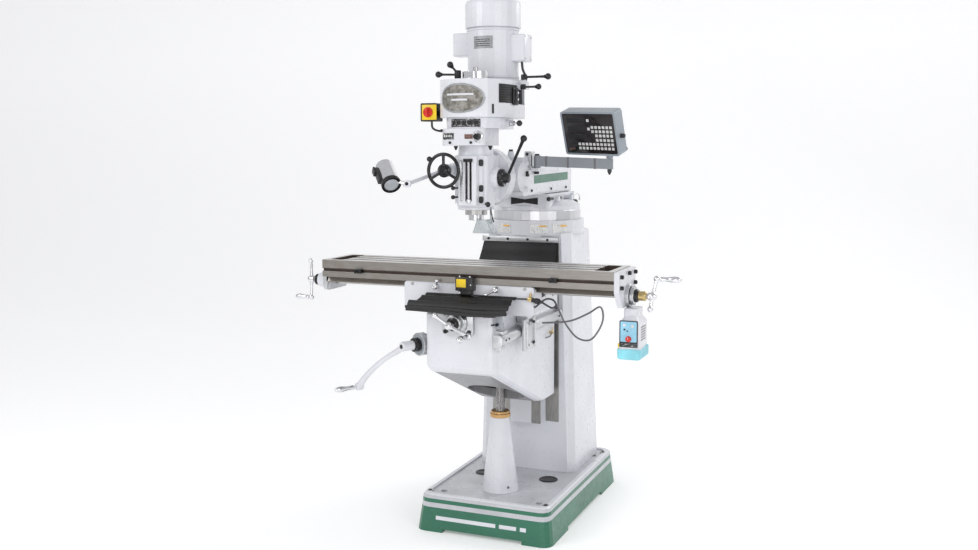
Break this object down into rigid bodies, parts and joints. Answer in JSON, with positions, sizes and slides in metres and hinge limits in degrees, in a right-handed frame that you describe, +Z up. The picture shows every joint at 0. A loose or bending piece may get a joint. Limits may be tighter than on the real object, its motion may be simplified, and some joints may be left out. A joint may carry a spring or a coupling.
{
  "type": "vertical milling machine",
  "caption": "Knee-type vertical turret milling machine: base, column, knee, saddle, slotted table, swivelling turret with ram, and a tilting head with quill, spindle, belt drive and motor.",
  "frame": {"origin": "on the floor, under the middle of the space the machine takes at rest", "axes": "+Z up, +X to the operator's right along the table, -Y towards the operator"},
  "size_m": [1.6382, 1.3543, 2.148],
  "materials": {
    "white_paint": "semi-gloss enamel over cast iron",
    "green_paint": "semi-gloss enamel over cast iron",
    "ground_steel": "ground and scraped, oiled",
    "chrome": "polished",
    "bronze": "machined",
    "rubber": "matte sheet",
    "black_plastic": "moulded",
    "black_steel": "blackened steel",
    "cast_aluminium": "machined",
    "grey_case": "fine texture",
    "red_plastic": "moulded",
    "clear_plastic": "clear acrylic sheet"
  },
  "bodies": {
    "root": {"base_casting": "green_paint", "column": "white_paint", "screw_pedestal": "white_paint", "elevating_nut": "bronze", "way_cover_strip": "cast_aluminium", "rear_way_cover": "rubber"},
    "knee": {"knee_casting": "white_paint", "y_screw_bearing": "grey_case", "knee_crank_bearing": "white_paint", "y_scale": "cast_aluminium"},
    "elevating_screw": {"elevating_screw": "ground_steel"},
    "knee_crank": {"knee_crank": "white_paint"},
    "knee_crank_grip": {"knee_crank_grip": "chrome"},
    "y_crank": {"y_leadscrew": "ground_steel", "y_crank": "chrome"},
    "y_crank_grip": {"y_crank_grip": "chrome"},
    "saddle": {"saddle_casting": "white_paint", "front_way_cover": "rubber", "limit_switch": "black_plastic", "y_scale_reader": "cast_aluminium"},
    "table_lock_left": {"table_lock_left": "chrome"},
    "table_lock_right": {"table_lock_right": "chrome"},
    "table": {"table": "ground_steel", "table_bracket_left": "grey_case", "table_bracket_right": "white_paint", "stop_dog_left": "black_steel", "stop_dog_right": "black_steel", "power_feed": "white_paint"},
    "feed_knob": {"feed_knob": "red_plastic"},
    "x_screw": {"x_leadscrew": "ground_steel", "x_crank_left": "chrome", "x_crank_right": "chrome"},
    "turret": {"turret": "white_paint"},
    "ram": {"ram": "white_paint"},
    "dro_arm": {"dro_arm": "grey_case"},
    "dro_display": {"dro_display": "grey_case"},
    "ram_adapter": {"ram_adapter": "white_paint"},
    "head": {"quill_head": "white_paint", "feed_gearbox": "white_paint", "back_gear_housing": "white_paint", "belt_housing": "white_paint", "drive_belt": "rubber", "motor_body": "white_paint", "fan_cover": "white_paint", "switch_box": "black_plastic", "chip_guard": "clear_plastic"},
    "quill": {"quill": "ground_steel"},
    "spindle": {"spindle": "ground_steel"},
    "spindle_pulley": {"spindle_pulley": "cast_aluminium"},
    "motor_pulley": {"motor_pulley": "cast_aluminium"},
    "handwheel": {"handwheel": "black_steel"},
    "quill_lever": {"quill_lever": "black_steel"},
    "brake_lever": {"brake_lever": "black_steel"},
    "speed_lever": {"speed_lever": "black_steel"},
    "belt_tension_lever": {"belt_tension_lever": "black_steel"},
    "back_gear_lever": {"back_gear_lever": "black_steel"},
    "feed_rate_knob": {"feed_rate_knob": "black_steel"},
    "switch_knob": {"switch_knob": "red_plastic"},
    "lamp_arm": {"lamp_arm": "white_paint"},
    "lamp_head": {"lamp_head": "chrome"}
  },
  "joints": [
    {"name": "knee_slide", "type": "slide", "parent": "root", "child": "knee", "axis": [0, 0, 1], "range_m": [-0.254, 0.1143], "deforming": ["rear_way_cover"]},
    {"name": "elevating_screw_turn", "type": "hinge", "parent": "knee", "child": "elevating_screw", "pos_m": [0.0205, -0.0665, 0.5], "axis": [0, 0, 1], "range_deg": [-18001, 8101]},
    {"name": "knee_crank_turn", "type": "hinge", "parent": "knee", "child": "knee_crank", "pos_m": [-0.20268, -0.4858, 0.815], "axis": [0.4699, 0.8827, 0], "range_deg": [-36001, 16201]},
    {"name": "knee_grip_turn", "type": "hinge", "parent": "knee_crank", "child": "knee_crank_grip", "pos_m": [-0.43887, -0.43938, 0.627], "axis": [0.4699, 0.8827, 0], "continuous": true},
    {"name": "y_crank_turn", "type": "hinge", "parent": "knee", "child": "y_crank", "pos_m": [0.0205, -0.5715, 0.922], "axis": [0, 1, 0], "range_deg": [-3601, 18001]},
    {"name": "y_grip_turn", "type": "hinge", "parent": "y_crank", "child": "y_crank_grip", "pos_m": [0.1035, -0.5815, 0.89], "axis": [0, 1, 0], "continuous": true},
    {"name": "cross_slide", "type": "slide", "parent": "knee", "child": "saddle", "axis": [0, 1, 0], "range_m": [-0.0508, 0.254], "deforming": ["front_way_cover"]},
    {"name": "table_lock_left_turn", "type": "hinge", "parent": "saddle", "child": "table_lock_left", "pos_m": [-0.1085, -0.3995, 1.043], "axis": [0, 1, 0], "range_deg": [-30, 30]},
    {"name": "table_lock_right_turn", "type": "hinge", "parent": "saddle", "child": "table_lock_right", "pos_m": [0.1435, -0.3995, 1.042], "axis": [0, 1, 0], "range_deg": [0, 45]},
    {"name": "table_slide", "type": "slide", "parent": "saddle", "child": "table", "axis": [1, 0, 0], "range_m": [-0.29464, 0.3556]},
    {"name": "feed_knob_turn", "type": "hinge", "parent": "table", "child": "feed_knob", "pos_m": [0.6441, -0.356, 0.878], "axis": [0, 1, 0], "range_deg": [-135, 135]},
    {"name": "x_screw_turn", "type": "hinge", "parent": "table", "child": "x_screw", "pos_m": [0.0205, -0.29, 1.03], "axis": [1, 0, 0], "range_deg": [-20881, 25201]},
    {"name": "turret_swivel", "type": "hinge", "parent": "root", "child": "turret", "pos_m": [0.0205, 0.3805, 1.262], "axis": [0, 0, 1], "range_deg": [-180, 180]},
    {"name": "ram_slide", "type": "slide", "parent": "turret", "child": "ram", "axis": [0, 1, 0], "range_m": [-0.0508, 0.254]},
    {"name": "dro_arm_swing", "type": "hinge", "parent": "ram", "child": "dro_arm", "pos_m": [0.1485, 0.0255, 1.5], "axis": [0, 0, 1], "range_deg": [0, 75]},
    {"name": "dro_display_turn", "type": "hinge", "parent": "dro_arm", "child": "dro_display", "pos_m": [0.4385, 0.0855, 1.53], "axis": [0, 0, 1], "range_deg": [-45, 45]},
    {"name": "head_nod", "type": "hinge", "parent": "ram", "child": "ram_adapter", "pos_m": [0.0205, -0.1115, 1.459], "axis": [1, 0, 0], "range_deg": [-45, 45]},
    {"name": "head_swivel", "type": "hinge", "parent": "ram_adapter", "child": "head", "pos_m": [0.0205, -0.2115, 1.459], "axis": [0, 1, 0], "range_deg": [-90, 90]},
    {"name": "quill_slide", "type": "slide", "parent": "head", "child": "quill", "axis": [0, 0, 1], "range_m": [-0.127, 0]},
    {"name": "quill_feed", "type": "hinge", "parent": "head", "child": "quill_lever", "pos_m": [0.1205, -0.3015, 1.46], "axis": [-1, 0, 0], "range_deg": [-286.48, 0]},
    {"name": "spindle_turn", "type": "hinge", "parent": "quill", "child": "spindle", "pos_m": [0.0205, -0.3115, 1.318], "axis": [0, 0, 1], "continuous": true},
    {"name": "spindle_pulley_turn", "type": "hinge", "parent": "head", "child": "spindle_pulley", "pos_m": [0.0205, -0.3115, 1.704], "axis": [0, 0, 1], "continuous": true},
    {"name": "motor_pulley_turn", "type": "hinge", "parent": "head", "child": "motor_pulley", "pos_m": [0.0205, -0.1345, 1.704], "axis": [0, 0, 1], "continuous": true},
    {"name": "handwheel_turn", "type": "hinge", "parent": "head", "child": "handwheel", "pos_m": [-0.0595, -0.4365, 1.489], "axis": [0, 1, 0], "continuous": true},
    {"name": "brake_lever_turn", "type": "hinge", "parent": "head", "child": "brake_lever", "pos_m": [-0.0515, -0.3165, 1.85], "axis": [0, 0, 1], "range_deg": [-25, 25]},
    {"name": "speed_lever_turn", "type": "hinge", "parent": "head", "child": "speed_lever", "pos_m": [0.1635, -0.1665, 1.847], "axis": [0, 0, 1], "range_deg": [-30, 30]},
    {"name": "belt_tension_lever_turn", "type": "hinge", "parent": "head", "child": "belt_tension_lever", "pos_m": [0.179, -0.2165, 1.806], "axis": [0, 0, 1], "range_deg": [-25, 25]},
    {"name": "back_gear_lever_turn", "type": "hinge", "parent": "head", "child": "back_gear_lever", "pos_m": [0.1405, -0.2565, 1.668], "axis": [1, 0, 0], "range_deg": [-40, 40]},
    {"name": "feed_rate_knob_turn", "type": "hinge", "parent": "head", "child": "feed_rate_knob", "pos_m": [0.0765, -0.4185, 1.616], "axis": [0, 1, 0], "range_deg": [-60, 60]},
    {"name": "switch_knob_turn", "type": "hinge", "parent": "head", "child": "switch_knob", "pos_m": [-0.1585, -0.3585, 1.711], "axis": [0, 1, 0], "range_deg": [0, 90]},
    {"name": "lamp_arm_swing", "type": "hinge", "parent": "head", "child": "lamp_arm", "pos_m": [-0.117, -0.2265, 1.5], "axis": [0, 0, 1], "range_deg": [-90, 0]},
    {"name": "lamp_head_tilt", "type": "hinge", "parent": "lamp_arm", "child": "lamp_head", "pos_m": [-0.1845, -0.4965, 1.441], "axis": [1, 0, 0], "range_deg": [-30, 30]}
  ],
  "couplings": [
    {"joint": "knee_crank_turn", "follows": "knee_slide", "rad_per_m": 2473.7},
    {"joint": "elevating_screw_turn", "follows": "knee_slide", "rad_per_m": 1236.8},
    {"joint": "y_crank_turn", "follows": "cross_slide", "rad_per_m": 1236.8},
    {"joint": "x_screw_turn", "follows": "table_slide", "rad_per_m": 1236.8},
    {"joint": "quill_slide", "follows": "quill_feed", "m_per_rad": 0.0254},
    {"joint": "spindle_pulley_turn", "follows": "spindle_turn", "ratio": 1},
    {"joint": "motor_pulley_turn", "follows": "spindle_turn", "ratio": 1.75}
  ]
}
